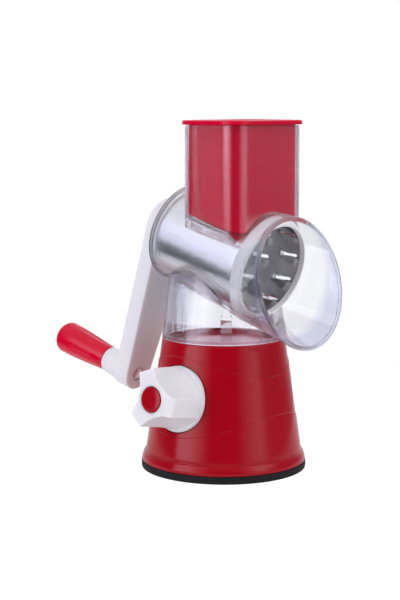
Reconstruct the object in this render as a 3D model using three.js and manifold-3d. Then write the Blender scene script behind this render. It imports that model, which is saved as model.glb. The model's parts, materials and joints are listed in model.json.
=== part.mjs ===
// Rotary cheese grater for the kitchen table, in millimetres, +Z up.
// The origin is the centre of the suction foot, on the table. The outlet mouth faces -Y, the crank is at
// the back (+Y), and the suction knob is on the left (-X).
//
// A clear one-piece body (hopper, barrel, mouth and pedestal) stands on a red base and locks to it with a
// bayonet. A slotted steel drum turns in the barrel on a hexagonal drive from the crank. The knob turns a
// cam, which lifts the middle of the rubber pad under the base to suck it to the table.
import * as THREE from "three";
import { mergeVertices } from "three/addons/utils/BufferGeometryUtils.js";
import Module from "manifold-3d";

const wasm = await Module();
wasm.setup();

// Driving dimensions.
const DEG = Math.PI / 180;
const GAP = 0.3; // clearance between neighbouring pieces
const WALL = 2.3; // moulded plastic wall
const ROUND = 32; // segments round the large, the small and the smallest round shapes
const SMALL_ROUND = 16;
const TINY_ROUND = 10;

const FOOT_R = 59.9; // red rim at the bottom of the base
const BASE_TOP_R = 44.8;
const BASE_H = 95; // top of the red rim that the clear body stands on
const CONE_START_Z = 12.6;
const CONE_START_R = 56.4;
const DECK_Z = 92; // upper face of the deck inside that rim
const DECK_T = 2.6;
const PAD_H = 5.3;

const AXIS_Z = 158.4; // height of the drum axis above the middle of the base
const TILT = 15 * DEG; // the drum axis falls towards the mouth
const BARREL_BACK = -41; // places along the drum axis, measured towards the mouth
const BARREL_FRONT = 42;
const BARREL_BACK_R = 35.2;
const BARREL_MID_R = 38.3;
const BARREL_FRONT_R = 40.8;
const MOUTH_Y = -69; // centre of the mouth rim, whose plane leans back from the upright
const MOUTH_Z = 139.4;
const MOUTH_R = 46.2;
const MOUTH_LEAN = 12.7 * DEG;

const CHUTE_Y = -17.1;
const CHUTE = { x: 38.7, y: 28, r: 14 }; // half sizes and corner radius, outside
const CHUTE_TOP = 247.6;
const CHUTE_FOOT = 15; // the chute's sides meet the barrel this far above the drum axis
const PUSHER = { x: 35.9, y: 25.2, r: 11.5 };
const PUSHER_CAP = { x: 40.4, y: 29.8, r: 15.1, t: 3.3 };
const PUSHER_FOOT = 26; // bottom of the pusher's sides above the drum axis
const PUSHER_ARCH_R = 36.8;

const DRUM_BACK = -37;
const DRUM_FRONT = 43.5;
const DRUM_BACK_R = 30.2;
const DRUM_FRONT_R = 34.7;
const DRUM_T = 0.8;
const SLOT_ROWS = [-14, 10, 34]; // middles of the rows of slots along the axis
const SLOTS = 6; // slots in a row, all on one side of the drum
const SLOT_TURN = 20.5 * DEG; // first slot, from straight up towards +X
const SLOT_STEP = 30.5 * DEG;
const SLOT_SLANT = 12; // degrees off the axis
const SLOT_W = 4;
const SLOT_LENGTH = 14;
const BLADE_LIFT = 1; // how far each cutting edge stands out of the wall
const HEX_R = 6.1; // corner radius of the hexagonal drive

const ARM_FRONT = -46.7;
const ARM_T = 13.5;
const ARM_LENGTH = 115.3;
const ARM_HUB_R = 20.3;
const ARM_END_R = 12.8;
const ARM_SWING = 5.7 * DEG; // at rest the arm hangs this far towards -X
const BOSS_END = -78;
const GRIP_END = -124.5;
const GRIP_NEAR_R = 9.7;
const GRIP_FAR_R = 12.3;
const AXLE_R = 3.2;

const KNOB_LEAN = 7.6 * DEG; // the knob shaft is square to the side of the base
const KNOB_AXIS_Z = 49.6; // where the knob shaft crosses the middle of the base
const KNOB_SEAT = 47.6; // places along the knob shaft, measured outwards
const KNOB_FLANGE_R = 23.5;
const KNOB_FLANGE_T = 4.4;
const KNOB_FACE = 78.3;
const LOBE_TURN = 20 * DEG;
const LOBE_R = 21;
const VALLEY_R = 12.8;
const SHAFT_R = 5;
const CAM_R = 8;
const CAM_OFFSET = 2.83; // a quarter turn from 45 degrees below level lifts the stem by 4
const STEM_R = 4;
const PAD_CENTRE_R = 18.7;

const BAYONET_TURNS = [103, 223, 343].map((a) => a * DEG);
const BAYONET_TWIST = 28 * DEG;

// Frames: local +Z runs along the drum axis to the mouth, out of the mouth rim, or out along the knob shaft.
const grater = new THREE.Group();
const barrelFrame = new THREE.Group();
barrelFrame.position.set(0, 0, AXIS_Z);
barrelFrame.rotation.x = Math.PI / 2 + TILT;
const mouthFrame = new THREE.Group();
mouthFrame.position.set(0, MOUTH_Y, MOUTH_Z);
mouthFrame.rotation.x = Math.PI / 2 - MOUTH_LEAN;
const knobFrame = new THREE.Group();
knobFrame.position.set(0, 0, KNOB_AXIS_Z);
knobFrame.rotation.y = KNOB_LEAN - Math.PI / 2;
for (const frame of [barrelFrame, mouthFrame, knobFrame]) frame.updateMatrix();
grater.add(barrelFrame, knobFrame);

// Materials.
const plastic = (color, roughness = 0.3) => new THREE.MeshStandardMaterial({ color, roughness });
const metal = (color, roughness) => new THREE.MeshStandardMaterial({ color, roughness, metalness: 1 });
const RED = plastic(0xb3001b);
const WHITE = plastic(0xeeeef0);
const CLEAR = plastic(0xe6e8f2, 0.1);
CLEAR.transparent = true;
CLEAR.opacity = 0.35;
const DARK = plastic(0x2a2a2c, 0.6);
const RUBBER = plastic(0x17181a, 0.8);
const STEEL = metal(0xd0d2d6, 0.15);
const ZINC = metal(0xa9abb0, 0.35);

// A closed three.js geometry as a manifold solid, turned right side out.
function solid(geometry) {
  const bare = geometry.clone();
  for (const name of ["normal", "uv"]) bare.deleteAttribute(name);
  const merged = mergeVertices(bare, 1e-4);
  const p = merged.attributes.position.array;
  const triangles = [];
  let volume = 0;
  for (let i = 0; i < merged.index.count; i += 3) {
    const [a, b, c] = [0, 1, 2].map((k) => merged.index.getX(i + k));
    if (a === b || b === c || a === c) continue;
    triangles.push(a, b, c);
    const [u, v, w] = [a, b, c].map((k) => new THREE.Vector3().fromArray(p, 3 * k));
    volume += u.dot(v.cross(w));
  }
  if (volume < 0) triangles.reverse();
  const mesh = { numProp: 3, vertProperties: new Float32Array(p), triVerts: new Uint32Array(triangles) };
  return new wasm.Manifold(new wasm.Mesh(mesh));
}

function geometryOf(shape) {
  const mesh = shape.getMesh();
  const geometry = new THREE.BufferGeometry();
  geometry.setAttribute("position", new THREE.BufferAttribute(new Float32Array(mesh.vertProperties), 3));
  geometry.setIndex(new THREE.BufferAttribute(new Uint32Array(mesh.triVerts), 1));
  geometry.computeVertexNormals();
  return geometry;
}

function piece(name, shape, material, parent = grater) {
  const mesh = new THREE.Mesh(geometryOf(shape), material);
  mesh.name = name;
  parent.add(mesh);
}

const join = (shapes) => shapes.reduce((all, shape) => all.add(shape));

// A solid of revolution about Z from [radius, z] points. The profile ends on the axis or is closed here.
function turned(points, segments = ROUND) {
  const onAxis = points[0][0] === 0;
  const outline = onAxis ? points : [...points, points[0]];
  const lathe = new THREE.LatheGeometry(outline.map(([r, z]) => new THREE.Vector2(r, z)), segments);
  return solid(lathe.rotateX(Math.PI / 2));
}

function rod(r, from, to, segments = SMALL_ROUND) {
  return turned([[0, from], [r, from], [r, to], [0, to]], segments);
}

function tube(inner, outer, from, to, segments = SMALL_ROUND) {
  return turned([[inner, from], [outer, from], [outer, to], [inner, to]], segments);
}

function block(x0, x1, y0, y1, z0, z1) {
  const box = new THREE.BoxGeometry(x1 - x0, y1 - y0, z1 - z0);
  return solid(box.translate((x0 + x1) / 2, (y0 + y1) / 2, (z0 + z1) / 2));
}

// An outline in XY pushed along Z.
function pushed(shape, from, to, curveSegments = 6) {
  const options = { depth: to - from, bevelEnabled: false, curveSegments };
  return solid(new THREE.ExtrudeGeometry(shape, options).translate(0, 0, from));
}

function polygon(points) {
  return new THREE.Shape(points.map(([x, y]) => new THREE.Vector2(x, y)));
}

function roundedRect({ x, y, r }) {
  const shape = new THREE.Shape();
  shape.absarc(x - r, y - r, r, 0, Math.PI / 2);
  shape.absarc(r - x, y - r, r, Math.PI / 2, Math.PI);
  shape.absarc(r - x, r - y, r, Math.PI, 1.5 * Math.PI);
  shape.absarc(x - r, r - y, r, 1.5 * Math.PI, 2 * Math.PI);
  return shape;
}

const shrunk = ({ x, y, r }, by) => ({ x: x - by, y: y - by, r: r - by });

// A plug whose section changes along it: section(angle, share, k) gives each point, k being 0 on the middle
// line and 1 on the surface.
function lofted(section, segments = ROUND, steps = 1) {
  const geometry = new THREE.CylinderGeometry(1, 1, 1, segments, steps);
  const position = geometry.attributes.position;
  for (let i = 0; i < position.count; i++) {
    const [x, y, z] = [position.getX(i), position.getY(i), position.getZ(i)];
    const p = section(Math.atan2(z, x), y + 0.5, Math.hypot(x, z) < 0.5 ? 0 : 1);
    position.setXYZ(i, p.x, p.y, p.z);
  }
  return solid(geometry);
}

const inFrame = (shape, frame) => shape.transform(frame.matrix.elements);
const circlePoint = (angle, r, z) => new THREE.Vector3(r * Math.cos(angle), r * Math.sin(angle), z);
const turnTo = (a, r) => [r * Math.cos(a), r * Math.sin(a)];
const hexagon = (r) => polygon([0, 60, 120, 180, 240, 300].map((a) => turnTo(a * DEG, r)));
const turnedBy = (shape, angle) => shape.rotate([0, 0, angle / DEG]);

// A wedge of a flat ring about Z, from one angle to another.
function ringSector(inner, outer, fromAngle, toAngle, z0, z1) {
  const shape = new THREE.Shape();
  shape.absarc(0, 0, outer, fromAngle, toAngle, false);
  shape.absarc(0, 0, inner, toAngle, fromAngle, true);
  return pushed(shape, z0, z1, 5);
}

// Red base: a cone with a stepped foot rim, a deck with bayonet slots, and the seat of the knob.
const SCREW_TURNS = [60, 180, 300].map((a) => a * DEG);
const SCREW_PLACE_R = 48.6;

const CONE_SLOPE = (BASE_TOP_R - CONE_START_R) / (BASE_H - CONE_START_Z);
const coneR = (z) => CONE_START_R + (z - CONE_START_Z) * CONE_SLOPE;

function baseOutside() {
  return turned([
    [0, PAD_H + GAP], [FOOT_R - 0.2, PAD_H + GAP], [FOOT_R - 0.4, 8.4], [57.6, 12.2],
    [CONE_START_R, CONE_START_Z], [BASE_TOP_R, BASE_H], [0, BASE_H],
  ]);
}

function baseShell() {
  const rimInner = BASE_TOP_R - 2.4;
  return turned([
    [0, DECK_Z], [rimInner, DECK_Z], [rimInner, BASE_H], [BASE_TOP_R, BASE_H],
    [CONE_START_R, CONE_START_Z], [57.6, 12.2], [FOOT_R - 0.4, 8.4],
    [FOOT_R - 0.2, PAD_H + GAP], [57.2, PAD_H + GAP], [57.2, 8], [55, 11],
    [CONE_START_R - 2.4, CONE_START_Z], [coneR(DECK_Z - DECK_T) - 2.4, DECK_Z - DECK_T], [0, DECK_Z - DECK_T],
  ]);
}

function knobSeat(outside) {
  const back = KNOB_SEAT - 2.6;
  const floor = inFrame(rod(KNOB_FLANGE_R + 2.3, back, KNOB_SEAT, ROUND), knobFrame).intersect(outside);
  const round = inFrame(rod(KNOB_FLANGE_R - 1.4, back, KNOB_SEAT, ROUND), knobFrame);
  const skirt = inFrame(tube(KNOB_FLANGE_R - 3.8, KNOB_FLANGE_R - 1.4, 38, KNOB_SEAT, ROUND), knobFrame);
  const bearing = inFrame(rod(SHAFT_R + 3, 36, KNOB_SEAT), knobFrame);
  return join([floor, round, skirt, bearing]);
}

// A long slot for the neck of a bayonet post, with a wider entry for its hook at one end.
function bayonetCut(turn) {
  const spare = 6.5 * DEG;
  const from = turn - BAYONET_TWIST - spare;
  const slot = ringSector(35, 39.2, from, turn + spare, DECK_Z - 4, DECK_Z + 1);
  const entry = ringSector(32.2, 39.2, from, from + 2 * spare, DECK_Z - 4, DECK_Z + 1);
  return slot.add(entry);
}

function screwPost(turn) {
  const post = rod(4.6, 12.9, 28, TINY_ROUND).translate([SCREW_PLACE_R, 0, 0]);
  return turnedBy(post, turn);
}

function screwBore(turn, r, from, to) {
  return turnedBy(rod(r, from, to, TINY_ROUND).translate([SCREW_PLACE_R, 0, 0]), turn);
}

function baseHousing() {
  const outside = baseOutside();
  const posts = join(SCREW_TURNS.map(screwPost)).intersect(outside);
  const whole = baseShell().add(knobSeat(outside)).add(posts);
  const pocket = inFrame(rod(KNOB_FLANGE_R + 0.8, KNOB_SEAT, KNOB_SEAT + 14, ROUND), knobFrame);
  const bore = inFrame(rod(SHAFT_R + GAP, 30, KNOB_SEAT + 5), knobFrame);
  const bores = SCREW_TURNS.map((turn) => screwBore(turn, 1.8, 10, 24));
  return whole.subtract(join([pocket, bore, ...BAYONET_TURNS.map(bayonetCut), ...bores]));
}

piece("base_housing", baseHousing(), RED);

// Chassis under the base: floor plate, guide tube for the stem, and the far bearing of the knob shaft.
const CHASSIS_Z = 10.2;

function chassis() {
  const plate = rod(54, CHASSIS_Z, CHASSIS_Z + 2.4, ROUND);
  const guide = rod(STEM_R + 3.4, CHASSIS_Z, 26);
  const post = block(22, 28, -9, 9, CHASSIS_Z, 55);
  const brace = block(12, 22.5, -1.2, 1.2, CHASSIS_Z, 30);
  const bore = inFrame(rod(SHAFT_R + GAP, -36, -18), knobFrame);
  const holes = SCREW_TURNS.map((turn) => screwBore(turn, 2.1, CHASSIS_Z - 1, CHASSIS_Z + 4));
  const stemHole = rod(STEM_R + GAP, CHASSIS_Z - 1, 30);
  return join([plate, guide, post, brace]).subtract(join([bore, stemHole, ...holes]));
}

piece("base_chassis", chassis(), DARK);

SCREW_TURNS.forEach((turn, i) => {
  const head = CHASSIS_Z - GAP;
  const screw = turned([
    [0, head - 2], [2.6, head - 2], [3.5, head - 1.2], [3.5, head], [1.5, head], [1.5, 22], [0, 23],
  ], TINY_ROUND);
  piece(`chassis_screw_${i + 1}`, turnedBy(screw.translate([SCREW_PLACE_R, 0, 0]), turn), ZINC);
});

// Rubber pad: the rim is clamped under the base, and the middle is lifted by the stem.
piece("suction_pad", turned([
  [PAD_CENTRE_R + 0.5, 1.2], [46, 0.8], [52, 0], [FOOT_R + 0.1, 0], [FOOT_R + 0.3, 1],
  [FOOT_R + 0.3, PAD_H - 0.4], [FOOT_R - 0.1, PAD_H], [56.7, PAD_H], [56.7, 7.8], [54.5, 7.8], [54.1, 4.2],
  [PAD_CENTRE_R + 0.5, 4.2],
]), RUBBER);

const STEM_FOOT = { r: 9, z: 2.4, top: 4.6 };

piece("pad_centre", turned([
  [0, 0], [PAD_CENTRE_R, 0], [PAD_CENTRE_R, 4.2], [12, 5], [STEM_FOOT.r + GAP, 5],
  [STEM_FOOT.r + GAP, STEM_FOOT.z - GAP], [0, STEM_FOOT.z - GAP],
], SMALL_ROUND), RUBBER);

// Stem: its foot is set in the rubber, and the cam on the knob shaft lifts the window at its top.
const CAM_TURN = -45 * DEG; // the cam's offset at rest, below level towards +Y
const WINDOW = { y: 9.3, z: CAM_R + 0.6, wall: 3 };

function pullStem() {
  const cy = CAM_OFFSET * 0.85;
  const cz = KNOB_AXIS_Z + CAM_OFFSET * Math.sin(CAM_TURN);
  const { y, z, wall } = WINDOW;
  const frame = block(-3.6, 3.6, cy - y - wall, cy + y + wall, cz - z - wall, cz + z + wall);
  const window = block(-5, 5, cy - y, cy + y, cz - z, cz + z);
  const foot = rod(STEM_FOOT.r, STEM_FOOT.z, STEM_FOOT.top);
  const stem = rod(STEM_R, STEM_FOOT.z, cz - z - 1);
  return join([stem, foot, frame]).subtract(window);
}

piece("pull_stem", pullStem(), WHITE);

// Knob shaft with its cam, the three-lobed knob, its screw and the red cover over the screw.
function knobShaft() {
  const shaft = rod(SHAFT_R, -33, 67);
  const cam = rod(CAM_R, -2.6, 2.6, SMALL_ROUND).translate([
    CAM_OFFSET * Math.sin(CAM_TURN), CAM_OFFSET * Math.cos(CAM_TURN), 0,
  ]);
  return shaft.add(cam).subtract(rod(1.7, 56, 68, TINY_ROUND));
}

function knobOutline() {
  const shape = new THREE.Shape();
  const points = [];
  for (let lobe = 0; lobe < 3; lobe++) {
    const tip = LOBE_TURN + lobe * 120 * DEG;
    const valley = tip + 60 * DEG;
    points.push([LOBE_R * 0.9, tip - 19 * DEG], [LOBE_R, tip - 12 * DEG], [LOBE_R + 0.6, tip]);
    points.push([LOBE_R, tip + 12 * DEG], [LOBE_R * 0.9, tip + 19 * DEG]);
    points.push([VALLEY_R + 1.3, valley - 24 * DEG], [VALLEY_R, valley], [VALLEY_R + 1.3, valley + 24 * DEG]);
  }
  const corners = points.map(([r, a]) => new THREE.Vector2(r * Math.cos(a), r * Math.sin(a)));
  const curve = new THREE.SplineCurve([...corners, corners[0]]);
  return shape.setFromPoints(curve.getPoints(48).slice(0, -1));
}

function lockKnob() {
  const flangeTop = KNOB_SEAT + GAP + KNOB_FLANGE_T;
  const flange = turned([
    [0, KNOB_SEAT + GAP], [KNOB_FLANGE_R, KNOB_SEAT + GAP], [KNOB_FLANGE_R, flangeTop - 1.2],
    [KNOB_FLANGE_R - 1.2, flangeTop], [0, flangeTop],
  ]);
  const grip = pushed(knobOutline(), flangeTop - 1, KNOB_FACE);
  const socket = rod(SHAFT_R + GAP, KNOB_SEAT, 67.3);
  const throat = rod(2, 67, 71);
  const recess = rod(9.3, 70, KNOB_FACE + 1, SMALL_ROUND);
  return flange.add(grip).subtract(join([socket, throat, recess]));
}

const knobGroup = new THREE.Group();
knobFrame.add(knobGroup);
piece("knob_shaft", knobShaft(), STEEL, knobGroup);
piece("lock_knob", lockKnob(), WHITE, knobGroup);
piece("knob_screw", turned([
  [0, 58], [1.4, 57.5], [1.4, 70.3], [3.8, 70.3], [3.8, 71.6], [3, 72.6], [0, 72.6],
], TINY_ROUND), ZINC, knobGroup);
piece("knob_cap", turned([
  [0, 73.4], [9, 73.4], [9, KNOB_FACE], [8.4, KNOB_FACE + 0.5], [0, KNOB_FACE + 0.7],
], SMALL_ROUND), RED, knobGroup);

// Clear body. Each hollow part is a plug with a smaller plug cut out of it.
function barrelPlug(inset, back, front) {
  return inFrame(turned([
    [0, back], [BARREL_BACK_R - inset, back], [BARREL_MID_R - inset, 22],
    [BARREL_FRONT_R - inset, BARREL_FRONT], [BARREL_FRONT_R - inset, front], [0, front],
  ]), barrelFrame);
}

function mouthPlug(inset, overrun) {
  return lofted((angle, share, k) => {
    const from = circlePoint(angle, k * (BARREL_FRONT_R - inset), BARREL_FRONT - 0.5);
    const to = circlePoint(angle, k * (MOUTH_R - inset), 0).applyMatrix4(mouthFrame.matrix);
    return from.applyMatrix4(barrelFrame.matrix).lerp(to, share * (1 + overrun));
  }, ROUND, 2);
}

function pedestalPlug(inset, from, to) {
  return lofted((angle, share, k) => {
    const z = from + (to - from) * share;
    const rise = (z - BASE_H) / 57;
    const half = { x: BASE_TOP_R - 10.9 * rise - inset, y: BASE_TOP_R - 3.2 * rise - inset };
    return new THREE.Vector3(k * half.x * Math.cos(angle), k * half.y * Math.sin(angle), z);
  });
}

// The chute's sides narrow at the foot, where they meet the round of the barrel.
function chutePlug(size, inset, top) {
  const upright = pushed(roundedRect(size), AXIS_Z - 10, top).translate([0, CHUTE_Y, 0]);
  const foot = CHUTE_FOOT + inset;
  const wedge = polygon([
    [-33.5 + inset, foot], [33.5 - inset, foot], [size.x + 0.4, foot + 8], [size.x + 0.4, 130],
    [-size.x - 0.4, 130], [-size.x - 0.4, foot + 8],
  ]);
  return upright.intersect(inFrame(pushed(wedge, -90, 110), barrelFrame));
}

function bayonetPost(turn) {
  const upper = block(34.9, 40.4, -2.6, 2.6, 97, AXIS_Z);
  const foot = block(34.9, 40.4, -3.6, 3.6, DECK_Z + 0.4, 115);
  const neck = block(35.6, 38.6, -3.3, 3.3, DECK_Z - 3, DECK_Z + 1);
  const hook = block(33, 38.6, -3.3, 3.3, DECK_Z - DECK_T - 3.3, DECK_Z - DECK_T - GAP);
  const inside = turnedBy(upper, turn).intersect(pedestalPlug(WALL / 2, BASE_H, 152));
  return turnedBy(join([foot, neck, hook]), turn).add(inside);
}

function graterBody() {
  const lip = inFrame(tube(MOUTH_R - 3, MOUTH_R + 0.8, -1.7, 1.2, ROUND), mouthFrame);
  const spigot = turned([
    [39.8, DECK_Z + 0.4], [42.1, DECK_Z + 0.4], [42.1, BASE_H + GAP], [BASE_TOP_R - 0.2, BASE_H + GAP],
    [BASE_TOP_R - 0.5, 97.5], [39.8, 97.5],
  ]);
  const pedestal = pedestalPlug(0, BASE_H + GAP, 152).subtract(pedestalPlug(WALL, BASE_H - 1, 153));
  const inside = join([
    barrelPlug(WALL, BARREL_BACK + 2.5, BARREL_FRONT + 0.5), mouthPlug(WALL, 0.3),
    chutePlug(shrunk(CHUTE, WALL), WALL, CHUTE_TOP + 5),
  ]);
  const backFlange = inFrame(rod(BARREL_BACK_R + 0.6, BARREL_BACK, BARREL_BACK + 2.2, ROUND), barrelFrame);
  const bushHole = inFrame(rod(8.9, BARREL_BACK - 2, BARREL_BACK + 5), barrelFrame);
  const outside = join([
    barrelPlug(0, BARREL_BACK, BARREL_FRONT), mouthPlug(0, 0), lip, chutePlug(CHUTE, 0, CHUTE_TOP), pedestal,
    backFlange, spigot, ...BAYONET_TURNS.map(bayonetPost),
  ]);
  return outside.subtract(inside).subtract(bushHole);
}

piece("grater_body", graterBody(), CLEAR);
piece("rear_bush", turned([
  [6.4, -43.4], [13, -43.4], [13, -41.3], [8.6, -41.3], [8.6, -38.2], [6.4, -38.2],
], SMALL_ROUND), WHITE, barrelFrame);

// Pusher: a hollow cup whose underside is arched over the drum.
function pusher() {
  const floor = 2.2;
  const outer = pushed(roundedRect(PUSHER), AXIS_Z, CHUTE_TOP + 1.5).translate([0, CHUTE_Y, 0]);
  const above = (lift) => {
    const box = block(-50, 50, PUSHER_FOOT + lift, 130, -90, 110);
    const arch = rod(PUSHER_ARCH_R + lift, -92, 112, ROUND);
    return inFrame(box.subtract(arch), barrelFrame);
  };
  const cap = pushed(roundedRect(PUSHER_CAP), CHUTE_TOP + GAP, CHUTE_TOP + GAP + PUSHER_CAP.t);
  const pocket = pushed(roundedRect(shrunk(PUSHER, floor)), AXIS_Z, CHUTE_TOP + 10);
  const body = outer.intersect(above(0)).add(cap.translate([0, CHUTE_Y, 0]));
  return body.subtract(pocket.translate([0, CHUTE_Y, 0]).intersect(above(floor)));
}

piece("pusher", pusher(), RED);

// Drum: a slotted steel cone between a white front ring and a white hub with a hexagonal socket.
function drumRadius(place) {
  return DRUM_BACK_R + ((DRUM_FRONT_R - DRUM_BACK_R) * (place - DRUM_BACK)) / (DRUM_FRONT - DRUM_BACK);
}

// A slot and the raised cutting edge along its far side, for every slot of every row.
function drumSlots() {
  const half = SLOT_LENGTH / 2;
  const hole = block(-6, 6, -SLOT_W / 2, SLOT_W / 2, -half, half);
  const edge = block(-DRUM_T / 2, DRUM_T / 2 + BLADE_LIFT, -SLOT_W / 2 - 0.8, -SLOT_W / 2 + 0.4, -half, half);
  return SLOT_ROWS.flatMap((place, row) => Array.from({ length: SLOTS }, (_, i) => {
    const turn = 90 * DEG - SLOT_TURN - (i + (row % 2) / 2) * SLOT_STEP;
    const placed = (shape) => {
      const slanted = shape.rotate([SLOT_SLANT, 0, 0]);
      return turnedBy(slanted.translate([drumRadius(place) - DRUM_T / 2, 0, place]), turn);
    };
    return { hole: placed(hole), edge: placed(edge) };
  }));
}

function drumShell() {
  const shell = turned([
    [DRUM_BACK_R - DRUM_T, DRUM_BACK], [DRUM_BACK_R, DRUM_BACK], [DRUM_FRONT_R, DRUM_FRONT],
    [DRUM_FRONT_R - DRUM_T, DRUM_FRONT],
  ]);
  const slots = drumSlots();
  return shell.subtract(join(slots.map(({ hole }) => hole))).add(join(slots.map(({ edge }) => edge)));
}

piece("drum_shell", drumShell(), STEEL, barrelFrame);
piece("drum_front_ring", turned([
  [35.1, 40.6], [37.3, 40.6], [37.8, 41.4], [37.4, 43.6], [33.8, 47.9], [32.8, 47.9], [32.8, 43.8],
  [35.1, 43.8],
]), WHITE, barrelFrame);
piece("drum_hub", turned([
  [0, -37.9], [31.4, -37.9], [31.4, -37.3], [29, -37.3], [29, -34.4], [11, -34.4], [9.6, -33], [9.6, -14],
  [0, -14],
]).subtract(pushed(hexagon(HEX_R + 0.4), -40, -12)), WHITE, barrelFrame);

// Crank: drive shaft, arm with the boss of the grip, screws, axle and turning grip.
const HUB_POCKET = -55.3;

function driveShaft() {
  const journal = turned([
    [0, HUB_POCKET + GAP], [SHAFT_R, HUB_POCKET + GAP], [SHAFT_R, -46.4], [9, -46.4], [9, -44.1],
    [HEX_R, -44.1], [HEX_R, -38], [0, -38],
  ], SMALL_ROUND);
  return journal.add(pushed(hexagon(HEX_R), -39, -16)).subtract(rod(2.2, -56, -45, TINY_ROUND));
}

const armEnd = [-ARM_LENGTH * Math.sin(ARM_SWING), -ARM_LENGTH * Math.cos(ARM_SWING), 0];

// The arm's outline is the hub circle and the end circle joined by their common tangents.
function armOutline() {
  const shape = new THREE.Shape();
  const along = -Math.PI / 2 - ARM_SWING;
  const spread = Math.acos((ARM_HUB_R - ARM_END_R) / ARM_LENGTH);
  shape.absarc(0, 0, ARM_HUB_R, along + spread, along + 2 * Math.PI - spread);
  shape.absarc(armEnd[0], armEnd[1], ARM_END_R, along - spread, along + spread);
  return shape;
}

function crankArm() {
  const arm = pushed(armOutline(), ARM_FRONT - ARM_T, ARM_FRONT, 12);
  const bossFoot = ARM_FRONT - ARM_T + 1;
  const boss = turned([
    [0, BOSS_END], [GRIP_NEAR_R, BOSS_END], [ARM_END_R - 0.4, bossFoot], [0, bossFoot],
  ], SMALL_ROUND);
  const axleBore = turned([
    [0, BOSS_END - 1], [AXLE_R + GAP, BOSS_END - 1], [AXLE_R + GAP, -50.1], [5.6, -50.1], [5.6, -46],
    [0, -46],
  ], SMALL_ROUND);
  const hubBore = turned([
    [0, -61], [5.4, -61], [5.4, -57.3], [2.5, -57.3], [2.5, HUB_POCKET], [SHAFT_R + GAP, HUB_POCKET],
    [SHAFT_R + GAP, -46], [0, -46],
  ], SMALL_ROUND);
  return arm.add(boss.translate(armEnd)).subtract(hubBore).subtract(axleBore.translate(armEnd));
}

function grip() {
  return turned([
    [AXLE_R + 0.4, BOSS_END - GAP], [GRIP_NEAR_R - 0.2, BOSS_END - GAP], [10.5, -90],
    [GRIP_FAR_R - 0.2, -114], [GRIP_FAR_R, GRIP_END], [6.5, GRIP_END], [6.5, -115], [AXLE_R + 0.4, -115],
  ], SMALL_ROUND);
}

piece("drive_shaft", driveShaft(), WHITE, barrelFrame);
piece("crank_arm", crankArm(), WHITE, barrelFrame);
piece("crank_screw", turned([
  [0, -60], [4, -60], [4.8, -59], [4.8, -57.6], [1.9, -57.6], [1.9, -47], [0, -46.4],
], TINY_ROUND), ZINC, barrelFrame);
piece("grip_axle", turned([
  [0, -118.5], [AXLE_R, -118.5], [AXLE_R, -49.8], [5.2, -49.8], [5.2, -47.6], [4.4, -47], [0, -47],
], TINY_ROUND).translate(armEnd), STEEL, barrelFrame);
piece("axle_clip", tube(AXLE_R + GAP, 6, -116.9, -115.4).translate(armEnd), STEEL, barrelFrame);
piece("grip", grip().translate(armEnd), RED, barrelFrame);
piece("grip_end_cap", turned([
  [0, -120], [6.2, -120], [6.2, GRIP_END - GAP], [12.1, GRIP_END - GAP], [11.7, -126.6], [10.2, -128.7],
  [7, -130.2], [0, -130.9],
], SMALL_ROUND).translate(armEnd), RED, barrelFrame);

export default grater;
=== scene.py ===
"""A rotary cheese grater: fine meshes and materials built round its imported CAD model.

Shapes are given in millimetres, in the frame they belong to, and become metres when they are made.
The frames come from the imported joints, so that every piece lies where its CAD node does.
"""

import json
import math

import bmesh
import bpy
from mathutils import Matrix, Vector


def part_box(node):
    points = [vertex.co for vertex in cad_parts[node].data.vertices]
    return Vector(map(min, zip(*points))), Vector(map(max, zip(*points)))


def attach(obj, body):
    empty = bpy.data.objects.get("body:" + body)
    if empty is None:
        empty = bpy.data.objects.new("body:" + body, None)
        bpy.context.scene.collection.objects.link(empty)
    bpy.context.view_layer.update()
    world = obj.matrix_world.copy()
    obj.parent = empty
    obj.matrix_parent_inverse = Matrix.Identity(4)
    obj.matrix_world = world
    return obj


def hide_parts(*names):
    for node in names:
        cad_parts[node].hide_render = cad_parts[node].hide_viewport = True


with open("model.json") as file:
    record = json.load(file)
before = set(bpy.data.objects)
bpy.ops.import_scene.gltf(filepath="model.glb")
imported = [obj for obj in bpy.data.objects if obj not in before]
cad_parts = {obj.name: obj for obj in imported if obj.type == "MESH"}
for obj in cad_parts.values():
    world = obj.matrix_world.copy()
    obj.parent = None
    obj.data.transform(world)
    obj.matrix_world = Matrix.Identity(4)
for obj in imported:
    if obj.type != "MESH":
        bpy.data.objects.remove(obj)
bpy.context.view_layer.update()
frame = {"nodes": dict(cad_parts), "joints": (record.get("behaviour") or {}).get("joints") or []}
JOINTS = {joint["name"]: joint for joint in frame["joints"]}

MM = 0.001
DEG = math.pi / 180
ROUND = 128  # segments round large and small shapes
SMALL_ROUND = 64
GAP = 0.3  # clearance between neighbouring pieces
WALL = 2.3  # moulded plastic wall

# The base, from the table up.
FOOT_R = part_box("base_housing")[1].x / MM
BASE_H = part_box("base_housing")[1].z / MM
BASE_TOP_R = 44.8
STEP = 0.4  # how far each tier of the housing stands out from the next one up
WAVE_START = 220.6 * DEG  # the waves on the housing: their start, middle heights and half heights
LOW_WAVE_Z = 37
LOW_WAVE = 7.5
HIGH_WAVE_Z = 78.5
HIGH_WAVE = 7
CONE_START_Z = 12.6
CONE_START_R = 56.4
DECK_Z = 92
DECK_T = 2.6
PAD_H = 5.3
PAD_CENTRE_R = 18.7

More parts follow.
